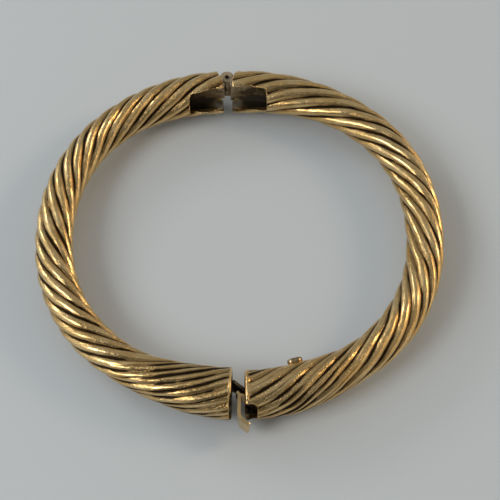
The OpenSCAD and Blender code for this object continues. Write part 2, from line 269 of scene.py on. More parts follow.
def signed_power(x, exponent):
    return math.copysign(abs(x) ** exponent, x)


def swell(x):
    """Half a smooth wave, from 1 at 0 and before to 0 at 1 and after."""
    if x < 0:
        return 1
    return (1 + math.cos(math.pi * x)) / 2 if x < 1 else 0


def middle_line(side, t):
    stand_out = CLASP_OUT[side] * swell((180 - t) / OUT_RANGE[side])
    t = math.radians(t)
    power = 2 / PLAN_FULLNESS
    return Vector((side * PLAN_A * signed_power(math.sin(t), power),
                   PLAN_B * signed_power(math.cos(t), power) - stand_out, MID_Z))


def outward_way(side, t):
    t = math.radians(t)
    power = 2 - 2 / PLAN_FULLNESS
    return Vector((side * signed_power(math.sin(t), power) / PLAN_A,
                   signed_power(math.cos(t), power) / PLAN_B, 0)).normalized()


print("the plan is", 2 * (PLAN_A + SIDE_R), "mm wide over its ribs")

# %% [markdown]
# The source places the ends of the halves, the windows and the notches by a distance in millimetres, from
# the hinge or from the middle of the clasp. The plan's rule can be turned round, so the angle for such a
# distance comes out exactly. The hinge stands a little off the middle and is turned with the ring there.

# %% Places that go by a distance
def plan_angle(x):
    return math.degrees(math.asin(signed_power(x / PLAN_A, PLAN_FULLNESS / 2)))


def from_hinge(side, distance):
    return plan_angle(distance - side * HINGE_X)


def from_clasp(distance):
    return 180 - plan_angle(distance)


hinge_mid = middle_line(LEFT, from_hinge(LEFT, 0))
hinge_way = outward_way(LEFT, from_hinge(LEFT, 0))
hinge_tilt = math.atan2(-hinge_way.x, hinge_way.y)
hinge_axis = hinge_mid + HINGE_OUT * hinge_way
print("hinge axis at", [round(x, 3) for x in hinge_axis], "mm")
print("hinge tilted by", round(math.degrees(hinge_tilt), 2), "degrees")

# %% [markdown]
# ## The path of each half
# The tube of a half swells towards the hinge and more towards the clasp, and its nine ribs wind well over
# twice round it on the way. A steady turn would be simpler, but the real ribs wind faster in some places.
# So how far they have turned was read off the photograph every thirty degrees, and a smooth curve through
# those readings puts each groove where the picture has it.

# %% How thick the tube is and how far its ribs have turned
def tube_radius(side, t):
    near_hinge = swell(abs(t - from_hinge(side, 0)) / HINGE_FLARE)
    near_clasp = swell((180 - t - CLASP_LEVEL[side]) / (CLASP_FLARE[side] - CLASP_LEVEL[side]))
    return SIDE_R + (HINGE_R - SIDE_R) * near_hinge + (CLASP_R[side] - SIDE_R) * near_clasp


def rib_turn(side, t):
    table, x = TURNS[side], t / TURN_STEP
    i = max(0, min(math.floor(x), len(table) - 2))
    f = x - i
    padded = [2 * table[0] - table[1], *table, 2 * table[-1] - table[-2]]
    p0, p1, p2, p3 = padded[i:i + 4]
    bend = f * f * (p0 - 2.5 * p1 + 2 * p2 - p3 / 2)
    return p1 + f * (p2 - p0) / 2 + bend + f ** 3 * (-p0 + 3 * p1 - 3 * p2 + p3) / 2


def groove_angle(side, t):
    return GROOVE_AT - side * rib_turn(side, t)


for side, word in WORDS.items():
    turns = (rib_turn(side, 180) - rib_turn(side, 0)) / 360
    print("the ribs of the", word, "half turn", round(turns, 2), "times")

# %% [markdown]
# Near the clasp a finer groove splits each rib, and the last millimetre or so of the end is a smooth rim.
# Drawing all of that by hand would take a curve for each rib. Instead the tube is described at stations, and
# each station says how thick the tube is there, how deep its grooves are and where they start.

# %% Stations along a half
END_STEPS, OUTER_STATIONS, INNER_STATIONS = 6, 330, 60
LIP = 0.12
CLASP_RIB_DEPTH, SPLIT_DEPTH, SPLIT_FROM, SPLIT_FULL = 0.45, 0.26, 46, 16
RIM_FROM, RIM_FULL = {LEFT: 0.9, RIGHT: 1.3}, {LEFT: 0.2, RIGHT: 0.5}


def station(t, radius, start_angle, rib_depth=0, split_depth=0, trim=0, inside=0):
    return {"t": t, "radius": radius, "rib depth": rib_depth, "split depth": split_depth, "trim": trim,
            "start angle": math.radians(start_angle), "inside": inside}


def ribbed_station(side, t, trim):
    near = swell((180 - t - SPLIT_FULL) / (SPLIT_FROM - SPLIT_FULL))
    ribbed = 1 - swell((180 - t - RIM_FULL[side]) / (RIM_FROM[side] - RIM_FULL[side]))
    depth = (RIB_DEPTH + (CLASP_RIB_DEPTH - RIB_DEPTH) * near) * ribbed
    return station(t, tube_radius(side, t), groove_angle(side, t), depth, SPLIT_DEPTH * near * ribbed, trim)


def rounded_end(size):
    """Steps over a rounded end: how far from its tip each one is, and how much it trims the radius."""
    angles = [math.radians(90 - 90 * i / END_STEPS) for i in range(END_STEPS)]
    return [(size * (1 - math.sin(a)), size * (1 - math.cos(a))) for a in angles]


for side, word in WORDS.items():
    thick = [round(2 * tube_radius(side, t), 2) for t in (0, 90, 180)]
    print("the", word, "half is", thick, "mm thick at 0, 90 and 180 degrees")

# %% [markdown]
# The stations of a half are one list. It goes out along the ribbed outside, over a rounded end on either
# side, and comes back along the smooth inside of the hollow, so that the skin that is stretched over it
# closes on itself. The outside and the hollow could be two skins, but a single closed one is solid at once,
# and only a solid can be cut safely later.

# %% The whole list, out along the outside and back along the hollow
def evenly(start, end, steps):
    return [start + i * (end - start) / steps for i in range(steps + 1)]


def outside_of(side):
    first, last = from_hinge(side, HINGE_GAP + HINGE_ROUND), from_clasp(SEAM + CLASP_ROUND)
    places = [(from_hinge(side, HINGE_GAP + x), trim) for x, trim in rounded_end(HINGE_ROUND)]
    places += [(t, 0) for t in evenly(first, last, OUTER_STATIONS)]
    places += [(from_clasp(SEAM + x), trim) for x, trim in reversed(rounded_end(CLASP_ROUND))]
    return [ribbed_station(side, t, trim) for t, trim in places]


def hollow_of(side):
    clasp_end, hinge_end = from_clasp(SEAM), from_hinge(side, HINGE_GAP)
    start, end = groove_angle(side, clasp_end), groove_angle(side, hinge_end)
    end += 360 * round((start - end) / 360)
    even = evenly(from_clasp(SEAM + LIP), from_hinge(side, HINGE_GAP + LIP), INNER_STATIONS)
    rows = []
    for t, lip in [(clasp_end, LIP), *((t, 0) for t in even), (hinge_end, LIP)]:
        along = (t - clasp_end) / (hinge_end - clasp_end)
        rows.append(station(t, tube_radius(side, t) - WALL + lip, start + along * (end - start), inside=1))
    return rows


stations = {}
for side, word in WORDS.items():
    outer = outside_of(side)
    stations[side] = [*outer, *hollow_of(side), outer[0]]
    print("stations of the", word, "half:", len(stations[side]))

# %% [markdown]
# The stations become a mesh of loose points, with the rest of each row as named attributes. Geometry Nodes
# can read those later, so the rule of the plan stays here, in plain arithmetic, and the tree only has to
# stretch a skin.

# %% Points that carry the stations
def station_points(name, side):
    rows = stations[side]
    mesh = bpy.data.meshes.new(name)
    mesh.from_pydata([middle_line(side, row["t"]) for row in rows], [], [])
    way = mesh.attributes.new("way out", "FLOAT_VECTOR", "POINT")
    for point, row in zip(way.data, rows):
        point.vector = outward_way(side, row["t"])
    for title in ("radius", "rib depth", "split depth", "trim", "start angle", "inside"):
        values = mesh.attributes.new(title, "FLOAT", "POINT")
        for point, row in zip(values.data, rows):
            point.value = row[title]
    points = bpy.data.objects.new(name, mesh)
    bpy.context.scene.collection.objects.link(points)
    return points


shells = {side: station_points(f"{word}_shell", side) for side, word in WORDS.items()}
print("points:", {shell.name: len(shell.data.vertices) for shell in shells.values()})

# %% [markdown]
# ## The ribbed skin
# The ribs could be modelled as nine twisted rods, but on the real tube they are one sheet of metal with
# rounded crests and sharp grooves between them. So a tree of Geometry Nodes takes a flat grid with a row
# for each station, and lifts each of its points onto the tube. It is built in three steps, and the first
# finds, for each point of the grid, its station and how far round the tube it lies.

# %% A grid with a row for each station
def vector_maths(tree, operation, first, second=None, scale=None):
    made = node_at(tree, "ShaderNodeVectorMath", operation=operation)
    give(tree, made.inputs[0], first)
    if second is not None:
        give(tree, made.inputs[1], second)
    if scale is not None:
        give(tree, made.inputs["Scale"], scale)
    return made.outputs[0]


def grid_of_stations(tree, given):
    """The grid, and for each of its points the number of its station and the angle across its row."""
    count = node_at(tree, "GeometryNodeAttributeDomainSize", component="MESH", Geometry=given["Stations"])
    across = maths(tree, "ADD", maths(tree, "MULTIPLY", given["Ribs"], given["Points in a rib"]), 1)
    grid = node_at(tree, "GeometryNodeMeshGrid", Vertices_X=count.outputs["Point Count"], Vertices_Y=across)
    index = tree.nodes.new("GeometryNodeInputIndex").outputs[0]
    row = maths(tree, "FLOOR", maths(tree, "DIVIDE", maths(tree, "ADD", index, 0.5), across))
    place = maths(tree, "SUBTRACT", index, maths(tree, "MULTIPLY", row, across))
    last = maths(tree, "SUBTRACT", across, 1)
    angle = maths(tree, "DIVIDE", maths(tree, "MULTIPLY", place, 2 * math.pi), last)
    return grid.outputs["Mesh"], row, angle


def station_reader(tree, given, row):
    """A function that reads a named value, or without a name the place, of each point's own station."""
    def read(title="", kind="FLOAT"):
        if title:
            named = node_at(tree, "GeometryNodeInputNamedAttribute", data_type=kind, Name=title)
            value = named.outputs["Attribute"]
        else:
            value = tree.nodes.new("GeometryNodeInputPosition").outputs[0]
        sample = node_at(tree, "GeometryNodeSampleIndex", data_type=kind, domain="POINT",
                         Geometry=given["Stations"], Value=value, Index=row)
        return sample.outputs[0]

    return read


def plain_tube(tree, read, round_angle):
    """The tube's middle, the way from there to the point, and the point as it would lie on a plain tube."""
    middle, way_out = read(kind="FLOAT_VECTOR"), read("way out", "FLOAT_VECTOR")
    angle = maths(tree, "ADD", read("start angle"), round_angle)
    upwards = node_at(tree, "ShaderNodeCombineXYZ", Z=maths(tree, "SINE", angle)).outputs[0]
    outwards = vector_maths(tree, "SCALE", way_out, scale=maths(tree, "COSINE", angle))
    spoke = vector_maths(tree, "ADD", outwards, upwards)
    on_tube = vector_maths(tree, "ADD", middle, vector_maths(tree, "SCALE", spoke, scale=read("radius")))
    return middle, spoke, on_tube


print("each rib takes", round(360 / RIBS, 1), "degrees of the way round the tube")

# %% [markdown]
# The second step is the relief. The angle round the tube says whether a point is on a crest or in a groove.
# Near the clasp each rib draws its own depth for the finer groove that splits it, because no two are alike
# on the real one. Slow noise sways the ribs a little, and quicker noise lowers the surface here and there,
# as polishing does.

# %% The relief of the ribs
SWAY_SLOWNESS, SWAY_DETAIL, WEAR_DETAIL = 0.35, 1, 3
SPLIT_BY_CHANCE, SPLIT_BY_PLACE, SPLIT_SPARED = 1.3, 0.9, 0.15


def below_crest(tree, wave):
    return maths(tree, "SUBTRACT", 1, maths(tree, "ABSOLUTE", wave))


def split_of_each_rib(tree, given, phase, slow):
    """A share of the split's depth, partly drawn for each rib and partly changing slowly along it."""
    number = maths(tree, "FLOOR", maths(tree, "DIVIDE", phase, math.pi))
    rib = maths(tree, "FLOORED_MODULO", number, given["Ribs"])
    seeded = maths(tree, "ADD", rib, given["Seed"])
    drawn = node_at(tree, "ShaderNodeTexWhiteNoise", noise_dimensions="1D", W=seeded).outputs["Value"]
    by_chance = maths(tree, "MULTIPLY", drawn, SPLIT_BY_CHANCE)
    share = maths(tree, "ADD", by_chance, maths(tree, "MULTIPLY", slow, SPLIT_BY_PLACE))
    return maths(tree, "MAXIMUM", maths(tree, "SUBTRACT", share, SPLIT_SPARED), 0)


def relief(tree, given, read, round_angle, on_tube):
    """How far from the tube's middle the skin lies, and how deep in a groove that is."""
    def noise(scale, detail):
        made = node_at(tree, "ShaderNodeTexNoise", noise_dimensions="4D", Detail=detail, Vector=on_tube,
                       Scale=scale, W=given["Seed"])
        return made.outputs["Fac"]

    radius, depth, split = read("radius"), read("rib depth"), read("split depth")
    slow = noise(maths(tree, "MULTIPLY", given["Bumps in a millimetre"], SWAY_SLOWNESS), SWAY_DETAIL)
    sway = maths(tree, "MULTIPLY", maths(tree, "SUBTRACT", slow, 0.5), given["Sway"])
    swayed = maths(tree, "ADD", round_angle, sway)
    phase = maths(tree, "DIVIDE", maths(tree, "MULTIPLY", given["Ribs"], swayed), 2)
    rib_sunk = maths(tree, "MULTIPLY", depth, below_crest(tree, maths(tree, "SINE", phase)))
    across = maths(tree, "POWER", below_crest(tree, maths(tree, "COSINE", phase)), given["Split sharpness"])
    share = split_of_each_rib(tree, given, phase, slow)
    split_sunk = maths(tree, "MULTIPLY", maths(tree, "MULTIPLY", split, across), share)
    sunk = maths(tree, "SUBTRACT", radius, maths(tree, "ADD", rib_sunk, split_sunk))
    ribbed = maths(tree, "MINIMUM", sunk, maths(tree, "SUBTRACT", radius, read("trim")))
    rougher = maths(tree, "ADD", 1, maths(tree, "DIVIDE", split, SPLIT_DEPTH))
    uneven = maths(tree, "MULTIPLY", given["Unevenness"], rougher)
    worn = maths(tree, "MULTIPLY", uneven, noise(given["Bumps in a millimetre"], WEAR_DETAIL))
    rib_share = maths(tree, "DIVIDE", rib_sunk, RIB_DEPTH)
    split_share = maths(tree, "DIVIDE", split_sunk, SPLIT_DEPTH)
    return maths(tree, "SUBTRACT", ribbed, worn), maths(tree, "MAXIMUM", rib_share, split_share)


deepest = SPLIT_DEPTH * (SPLIT_BY_CHANCE + SPLIT_BY_PLACE - SPLIT_SPARED)
print("a split is at most", round(deepest, 2), "mm deep")

# %% [markdown]
# The tree's inputs have names, so that whoever uses it again can change the number of ribs or the wear
# without opening it. The bangle's own values stand here once, with the lowest that makes sense for each.

# %% The inputs of the tree
SEED = 3.0
SKIN_VALUES = {"Ribs": RIBS, "Points in a rib": 16, "Split sharpness": 1.5, "Sway": 0.25, "Unevenness": 0.1,
               "Bumps in a millimetre": 0.42, "Seed": SEED, "Turn faces over": False}
SKIN_LOWEST = {"Ribs": 1, "Points in a rib": 4, "Split sharpness": 1, "Sway": 0, "Unevenness": 0,
               "Bumps in a millimetre": 0}
SOCKET_KINDS = {bool: "NodeSocketBool", int: "NodeSocketInt", float: "NodeSocketFloat"}


def name_inputs(tree):
    tree.interface.new_socket("Stations", in_out="INPUT", socket_type="NodeSocketGeometry")
    for title, value in SKIN_VALUES.items():
        socket = tree.interface.new_socket(title, in_out="INPUT", socket_type=SOCKET_KINDS[type(value)])
        socket.default_value = value
        if title in SKIN_LOWEST:
            socket.min_value = SKIN_LOWEST[title]
    tree.interface.new_socket("Finish", in_out="INPUT", socket_type="NodeSocketMaterial")
    tree.interface.new_socket("Skin", in_out="OUTPUT", socket_type="NodeSocketGeometry")


print("the skin's own values:", SKIN_VALUES)

# %% [markdown]
# The third step moves the grid's points to where the relief says. The grid meets itself along both edges,
# where Merge by Distance closes it. The skin also remembers how deep each point lies, whether it is in the
# hollow, and where it would be on a straightened tube, because the finish needs to know.

# %% The tree that makes a ribbed skin
STREAK_STEP, JOIN_WITHIN = 0.07, 0.0005


def straightened(tree, row, round_angle):
    """A place on a tube whose ribs run straight, so that a pattern there follows the real ribs."""
    x = maths(tree, "MULTIPLY", maths(tree, "COSINE", round_angle), SIDE_R)
    y = maths(tree, "MULTIPLY", maths(tree, "SINE", round_angle), SIDE_R)
    z = maths(tree, "MULTIPLY", row, STREAK_STEP)
    return node_at(tree, "ShaderNodeCombineXYZ", X=x, Y=y, Z=z).outputs[0]


def build_ribbed_skin():
    tree = bpy.data.node_groups.new("ribbed skin", "GeometryNodeTree")
    name_inputs(tree)
    given = tree.nodes.new("NodeGroupInput").outputs

    grid, row, round_angle = grid_of_stations(tree, given)
    read = station_reader(tree, given, row)
    middle, spoke, on_tube = plain_tube(tree, read, round_angle)
    far, groove = relief(tree, given, read, round_angle, on_tube)
    lifted = vector_maths(tree, "ADD", middle, vector_maths(tree, "SCALE", spoke, scale=far))

    skin = node_at(tree, "GeometryNodeSetPosition", Geometry=grid, Position=lifted).outputs[0]
    for title, kind, value in (("groove", "FLOAT", groove), ("hollow", "FLOAT", read("inside")),
                               ("along ribs", "FLOAT_VECTOR", straightened(tree, row, round_angle))):
        skin = node_at(tree, "GeometryNodeStoreNamedAttribute", data_type=kind, domain="POINT", Name=title,
                       Geometry=skin, Value=value).outputs[0]
    skin = node_at(tree, "GeometryNodeMergeByDistance", Geometry=skin, Distance=JOIN_WITHIN).outputs[0]
    skin = node_at(tree, "GeometryNodeFlipFaces", Mesh=skin, Selection=given["Turn faces over"]).outputs[0]
    skin = node_at(tree, "GeometryNodeSetShadeSmooth", Geometry=skin).outputs[0]
    skin = node_at(tree, "GeometryNodeRealizeInstances", Geometry=skin).outputs[0]
    skin = node_at(tree, "GeometryNodeSetMaterial", Geometry=skin, Material=given["Finish"]).outputs[0]
    give(tree, tree.nodes.new("NodeGroupOutput").inputs[0], skin)
    return tree


ribbed_skin = build_ribbed_skin()
print("ribbed skin has", len(ribbed_skin.nodes), "nodes")

# %% [markdown]
# ## Grain and tarnish, shared by the finishes
# Seen close, the plating isn't smooth. The casting left fine pits under it, and some patches are rubbed
# brighter than others. Dirt and tarnish stay where a cloth doesn't reach, and in the bottoms of the grooves
# the same darkening is also painted shade. Both effects are used by more than one finish, so each is a group
# of shader nodes that gives out only masks and heights.

# %% Shader groups
GRAIN_PATCH_FROM, GRAIN_PATCH_FULL = 0.42, 0.62
PIT_FULL, PIT_FROM, PIT_DEPTH = 0.36, 0.5, 0.5
TARNISH_RAG, TARNISH_BELOW, TARNISH_ABOVE = 0.35, 0.1, 0.07


def shader_group(name, inputs, outputs):
    group = bpy.data.node_groups.new(name, "ShaderNodeTree")
    for title in inputs:
        group.interface.new_socket(title, in_out="INPUT", socket_type="NodeSocketFloat")
    for title in outputs:
        group.interface.new_socket(title, in_out="OUTPUT", socket_type="NodeSocketFloat")
    return group, group.nodes.new("NodeGroupInput").outputs, group.nodes.new("NodeGroupOutput").inputs


def object_noise(tree, scale, detail, distortion=0.0):
    place = tree.nodes.new("ShaderNodeTexCoord").outputs["Object"]
    noise = node_at(tree, "ShaderNodeTexNoise", Vector=place, Scale=scale, Detail=detail,
                    Distortion=distortion)
    return noise.outputs["Fac"]


def build_cast_grain():
    group, given, out = shader_group("cast grain", ["Scale", "Patches"], ["Height", "Pits", "Rubbed"])
    fine = object_noise(group, given["Scale"], detail=3)
    coarse = object_noise(group, given["Patches"], detail=2)
    patch = spread(group, coarse, GRAIN_PATCH_FROM, GRAIN_PATCH_FULL)
    pits = spread(group, fine, PIT_FULL, PIT_FROM, low=1, high=0)
    give(group, out["Height"], maths(group, "SUBTRACT", fine, maths(group, "MULTIPLY", pits, PIT_DEPTH)))
    give(group, out["Pits"], maths(group, "MULTIPLY", pits, patch))
    give(group, out["Rubbed"], patch)
    return group


def build_tarnish():
    group, given, out = shader_group("tarnish", ["Depth", "Spots in a metre", "Edge"], ["Mask"])
    cloud = object_noise(group, given["Spots in a metre"], detail=4, distortion=0.3)
    ragged = maths(group, "MULTIPLY", maths(group, "SUBTRACT", cloud, 0.5), TARNISH_RAG)
    start = maths(group, "SUBTRACT", given["Edge"], TARNISH_BELOW)
    end = maths(group, "ADD", given["Edge"], TARNISH_ABOVE)
    give(group, out["Mask"], spread(group, maths(group, "ADD", given["Depth"], ragged), start, end))
    return group


cast_grain, tarnish = build_cast_grain(), build_tarnish()
print("shader groups:", cast_grain.name, "and", tarnish.name)

# %% [markdown]
# An old finish lies in layers, first the metal, then a brown film, then dirt. Down in the grooves the film
# and the black are partly tarnish and partly painted shade. Each layer needs a mask, and the grain needs a
# little relief. These helpers ask the two groups for their masks, read what the skin remembers, and turn a
# height into relief.

# %% Helpers for the finishes
def cast_grain_at(tree, scale, patches):
    return node_at(tree, "ShaderNodeGroup", node_tree=cast_grain, Scale=scale, Patches=patches).outputs


def tarnish_mask(tree, depth, spots, edge):
    made = node_at(tree, "ShaderNodeGroup", node_tree=tarnish, Depth=depth, Spots_in_a_metre=spots,
                   Edge=edge)
    return made.outputs["Mask"]


def on_skin(tree, title, output="Fac"):
    return node_at(tree, "ShaderNodeAttribute", attribute_name=title).outputs[output]


def bumped(tree, shader, height, distance, strength):
    bump = node_at(tree, "ShaderNodeBump", Distance=distance, Strength=strength, Height=height)
    give(tree, shader.inputs["Normal"], bump.outputs[0])


print("helpers: cast_grain_at, tarnish_mask, on_skin and bumped")

# %% [markdown]
# ## The gold plating
# The plating is a warm pale gold on the crests, where it is rubbed bright. It grows browner down the sides
# of the ribs and ends nearly black at the bottom of each groove, partly as tarnish and partly as painted
# shade of the grooves. Painting that by hand would take an image, but the skin's own "groove" attribute says
# how deep a point lies, and the tarnish group turns that into a ragged edge. Nobody polished the hollow, so
# it is dull with grey brown dirt. Faint streaks in the surface follow the ribs, because a cloth does too.

# %% The gold plating
# The brown film and the black are partly tarnish and partly painted shade, deeper in the grooves.
BRIGHT_GOLD, WARM_GOLD = (0.84, 0.60, 0.29), (0.72, 0.48, 0.20)
BROWN_FILM_AND_SHADE, BLACK_TARNISH_AND_SHADE, INNER_DIRT = (0.26, 0.145, 0.045), (0.028, 0.017, 0.008), (0.24, 0.235, 0.2)
FILM_AND_SHADE_SHARE, PIT_SHARE, DIRT_SHARE = 0.6, 0.35, 0.85
POLISHED, FILM_ROUGHER, DIRT_ROUGHER, BLACK_ROUGHER, PIT_ROUGHER = 0.05, 0.08, 0.3, 0.25, 0.12
PATCH_SCALE, PATCH_FROM, PATCH_FULL, PATCH_SWING, CREST = 190, 0.34, 0.66, 0.16, 0.08
STREAK_SCALE, STREAK_HEIGHT, GOLD_BUMP, GOLD_BUMP_STRENGTH = 1.1, 6, 0.000025, 0.9


def patchy(tree, groove):
    """The groove's depth, more in some patches and less in others, but not on the crests."""
    patch = object_noise(tree, PATCH_SCALE, detail=2)
    more = spread(tree, patch, PATCH_FROM, PATCH_FULL, -PATCH_SWING, PATCH_SWING)
    off_crest = maths(tree, "GREATER_THAN", groove, CREST)
    return maths(tree, "ADD", groove, maths(tree, "MULTIPLY", off_crest, more))


def gold_plating():
    material, tree, shader = empty_material("gold plating")
    groove, hollow = on_skin(tree, "groove"), on_skin(tree, "hollow")
    grain = cast_grain_at(tree, scale=4200, patches=260)
    # Painted shade, partly real tarnish: the black and the brown film darken with the depth of each groove.
    black = tarnish_mask(tree, patchy(tree, groove), spots=700, edge=0.74)
    film_and_shade = tarnish_mask(tree, groove, spots=350, edge=0.44)

    colour = mixed(tree, grain["Rubbed"], WARM_GOLD, BRIGHT_GOLD)
    for mask, share, over in ((film_and_shade, FILM_AND_SHADE_SHARE, BROWN_FILM_AND_SHADE), (grain["Pits"], PIT_SHARE, BROWN_FILM_AND_SHADE),
                              (black, 1, BLACK_TARNISH_AND_SHADE), (hollow, DIRT_SHARE, INNER_DIRT)):
        colour = mixed(tree, maths(tree, "MULTIPLY", mask, share), colour, over)
    give(tree, shader.inputs["Base Color"], colour)
    give(tree, shader.inputs["Metallic"], 1)

    rough = POLISHED
    for mask, more in ((film_and_shade, FILM_ROUGHER), (hollow, DIRT_ROUGHER), (black, BLACK_ROUGHER),
                       (grain["Pits"], PIT_ROUGHER)):
        rough = maths(tree, "ADD", rough, maths(tree, "MULTIPLY", mask, more))
    give(tree, shader.inputs["Roughness"], rough)

    along = on_skin(tree, "along ribs", "Vector")
    streaks = node_at(tree, "ShaderNodeTexNoise", Scale=STREAK_SCALE, Detail=2, Vector=along).outputs["Fac"]
    height = maths(tree, "ADD", grain["Height"], maths(tree, "MULTIPLY", streaks, STREAK_HEIGHT))
    bumped(tree, shader, height, GOLD_BUMP, GOLD_BUMP_STRENGTH)
    return material


gold = gold_plating()
print("finish made:", gold.name)

# %% [markdown]
# ## Dull plate and cut edges
# The hinge, the spring and the plates inside the ends were never polished, so they are a dull brown brass
# with soft dark stains. The pin, the spring and the plates are darker still, partly tarnish and partly
# painted shade of the dark inside of the clasp. Where a window or a notch is cut through the wall, the edge
# is a rubbed, brighter metal, and the sloped corner beside the hinge is much darker. The lever and the oval
# plate are pale gold, worn by fingers and by the arm. All of them are one recipe with other numbers.

# %% Dull plate and cut edges
UNRUBBED = 0.8
WORN_PATCHES, STAIN_SCALE, STAIN_SPOTS, STAIN_ROUGHER, WORN_BUMP_STRENGTH = 300, 420, 1500, 0.2, 0.7


def worn_metal(name, clean, stained, rough, stain_edge, grain_scale, bump):
    material, tree, shader = empty_material(name)
    grain = cast_grain_at(tree, grain_scale, WORN_PATCHES)
    cloud = object_noise(tree, STAIN_SCALE, detail=3, distortion=0.4)
    stain = tarnish_mask(tree, cloud, STAIN_SPOTS, stain_edge)
    metal = mixed(tree, grain["Rubbed"], tuple(UNRUBBED * c for c in clean), clean)
    rougher = maths(tree, "ADD", rough, maths(tree, "MULTIPLY", stain, STAIN_ROUGHER))
    give(tree, shader.inputs["Base Color"], mixed(tree, stain, metal, stained))
    give(tree, shader.inputs["Metallic"], 1)
    give(tree, shader.inputs["Roughness"], rougher)
    bumped(tree, shader, grain["Height"], bump, WORN_BUMP_STRENGTH)
    return material


dull_plate = worn_metal("dull plate", clean=(0.68, 0.54, 0.36), stained=(0.20, 0.15, 0.09), rough=0.5,
                        stain_edge=0.58, grain_scale=1500, bump=0.00002)
# Darker still for the pin, the spring and the plates: partly tarnish, partly painted shade of the clasp's
# dark inside.
dark_plate_and_shade = worn_metal("dark plate and shade", clean=(0.3, 0.225, 0.135), stained=(0.045, 0.036, 0.024), rough=0.45,
                        stain_edge=0.48, grain_scale=1500, bump=0.00003)
cut_edge = worn_metal("cut edge", clean=(0.66, 0.47, 0.22), stained=(0.12, 0.08, 0.03), rough=0.25,
                      stain_edge=0.58, grain_scale=2200, bump=0.000015)
# A much darker metal for the sloped corner beside the hinge.
dark_edge = worn_metal("dark edge", clean=(0.16, 0.12, 0.07), stained=(0.02, 0.016, 0.01), rough=0.4,
                        stain_edge=0.46, grain_scale=1800, bump=0.00003)
lever_gold = worn_metal("lever gold", clean=(0.80, 0.55, 0.25), stained=(0.42, 0.27, 0.10), rough=0.16,
                        stain_edge=0.68, grain_scale=2600, bump=0.00001)
oval_gold = worn_metal("oval plate gold", clean=(0.60, 0.45, 0.27), stained=(0.18, 0.13, 0.07), rough=0.3,
                       stain_edge=0.6, grain_scale=2600, bump=0.00003)
worn = (dull_plate, dark_plate_and_shade, cut_edge, dark_edge, lever_gold, oval_gold)
print("finishes made:", [material.name for material in worn])

# %% [markdown]
# ## Stretch the skin over each half
# The tree goes on each set of points as a modifier, and its inputs are set before Blender looks at the
# result. Each half has a seed of its own. The left half is a mirror image, so its faces already point
# outwards, and the right half asks the tree to turn its faces over.

# %% Put the tree on both halves
def set_inputs(modifier, values):
    sockets = {item.name: item.identifier for item in modifier.node_group.interface.items_tree
               if item.item_type == "SOCKET" and item.in_out == "INPUT"}
    for title, value in values.items():
        modifier[sockets[title]] = value


for side, shell in shells.items():
    skin = shell.modifiers.new("ribbed skin", "NODES")
    skin.node_group = ribbed_skin
    its_own = {"Seed": SEED + side, "Turn faces over": side == RIGHT, "Finish": gold}
    set_inputs(skin, {**SKIN_VALUES, **its_own})
    print(shell.name, "has seed", SEED + side)

# %% [markdown]
# ## The cuts in each half
# On the real bangle the tube is cut open on its inner side near the hinge, its outer corner slopes back so
# that the halves can swing, and a notch at the clasp end lets the lever through. The grid could leave holes
# there, but their edges would follow its rows. So each cut is a closed block that a Boolean takes away. The
# block carries the finish for the cut edges, so the cut faces get it too.

# %% A block to cut with
PAST = 1
ARC_STEPS = 9


def prism(name, outline, low, high, place, material):
    """A closed block: the outline in its own x and y, from low to high in z, then put in place."""
    block = bmesh.new()
    floor = [block.verts.new(place @ Vector((x, y, low))) for x, y in outline]
    roof = [block.verts.new(place @ Vector((x, y, high))) for x, y in outline]
    block.faces.new(floor)
    block.faces.new(roof)
    for i in range(len(outline)):
        j = (i + 1) % len(outline)
        block.faces.new((floor[i], floor[j], roof[j], roof[i]))
    bmesh.ops.recalc_face_normals(block, faces=block.faces)
    mesh = bpy.data.meshes.new(name)
    block.to_mesh(mesh)
    block.free()
    mesh.materials.append(material)
    cutter = bpy.data.objects.new(name, mesh)
    bpy.context.scene.collection.objects.link(cutter)
    return cutter


def quarter_arc(x, y, radius):
    angles = [math.radians(90 * k / ARC_STEPS) for k in range(ARC_STEPS + 1)]
    return [(x + radius * math.cos(a), y + radius * math.sin(a)) for a in angles]


print("a rounded corner has", len(quarter_arc(0, 0, 1)), "points")

# %% [markdown]
# Through the window one sees the leaf of the hinge inside the tube. The window looks inwards and a little
# upwards, and has one rounded corner, as a file leaves it. The outer corner slopes back beside the knuckles,
# and its slope is a much darker metal.

# %% The window and the sloped corner beside the hinge
WINDOW_END, WINDOW_H, WINDOW_TURN, WINDOW_IN, WINDOW_CORNER = 6.8, 4.7, 30, 1, 0.8
WINDOW_DROP = {LEFT: 0.8, RIGHT: 0.3}
BEVEL_FROM, BEVEL_OUT = -0.2, 2.15

at_hinge = Matrix.Translation(hinge_mid) @ Matrix.Rotation(hinge_tilt, 4, "Z")


def window_block(side):
    half = WINDOW_H / 2
    corner = quarter_arc(WINDOW_END - WINDOW_CORNER, half - WINDOW_CORNER - WINDOW_DROP[side], WINDOW_CORNER)
    outline = [(-PAST, -half), (WINDOW_END, -half), *corner, (0, half), (-PAST, half)]
    outline = [(side * x, y) for x, y in outline]
    tilt = Matrix.Rotation(math.radians(90 - WINDOW_TURN), 4, "X")
    return prism("window_block", outline, WINDOW_IN, WINDOW_IN + HINGE_R + PAST, at_hinge @ tilt, cut_edge)


def corner_block(side):
    deep = HINGE_R + PAST
    slope = (BEVEL_OUT - HINGE_GAP) / (HINGE_R - BEVEL_FROM)
    sloped = HINGE_GAP + slope * (deep - BEVEL_FROM)
    outline = [(-PAST, BEVEL_FROM), (HINGE_GAP, BEVEL_FROM), (sloped, deep), (-PAST, deep)]
    return prism("corner_block", [(side * x, y) for x, y in outline], -deep, deep, at_hinge, dark_edge)


print("each window is", round(WINDOW_END - HINGE_GAP, 2), "mm long and", WINDOW_H, "mm high")

# %% [markdown]
# The thumb lever stands out through the front of the clasp, so the outer wall is notched there. The notch
# is deep in the right half, where the lever comes out, and a shallow step in the left one. Its upper corner
# is rounded too.

